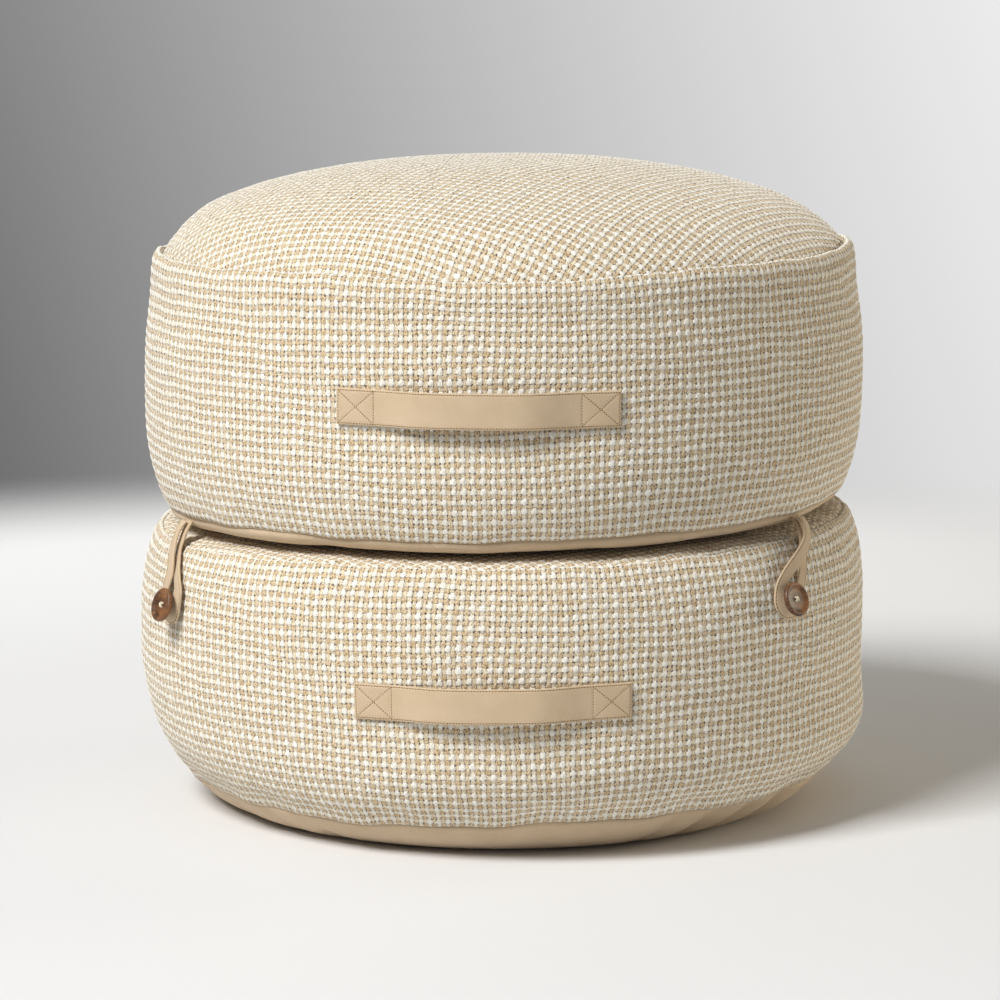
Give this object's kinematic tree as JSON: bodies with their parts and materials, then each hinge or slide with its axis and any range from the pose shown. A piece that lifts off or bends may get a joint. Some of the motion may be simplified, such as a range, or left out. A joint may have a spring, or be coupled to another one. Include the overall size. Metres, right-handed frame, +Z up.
{
  "type": "stacked pouf",
  "caption": "Round floor pouf made of stacked woven cushions with strap handles, joined by cloth loops over wooden buttons.",
  "frame": {"origin": "centre of the flat patch of the lower base panel that rests on the floor", "axes": "+Z up through the stack, -Y the front, where both strap handles are"},
  "size_m": [0.5107, 0.5329, 0.4487],
  "materials": {
    "woven_cloth": "coarse basket weave of ivory and beige cotton yarns",
    "tan_canvas": "plain tan cotton canvas",
    "button_wood": "dark brown coconut shell, satin",
    "button_thread": "cream cotton thread"
  },
  "bodies": {
    "root": {"lower_cushion": "woven_cloth", "upper_cushion": "woven_cloth", "lower_top_panel": "woven_cloth", "upper_top_panel": "woven_cloth", "lower_base_panel": "tan_canvas", "upper_base_panel": "tan_canvas", "lower_handle": "tan_canvas", "upper_handle": "tan_canvas", "loop_left": "tan_canvas", "loop_right": "tan_canvas", "loop_back": "tan_canvas", "button_left": "button_wood", "button_right": "button_wood", "button_back": "button_wood", "thread_left": "button_thread", "thread_right": "button_thread", "thread_back": "button_thread"}
  },
  "joints": []
}
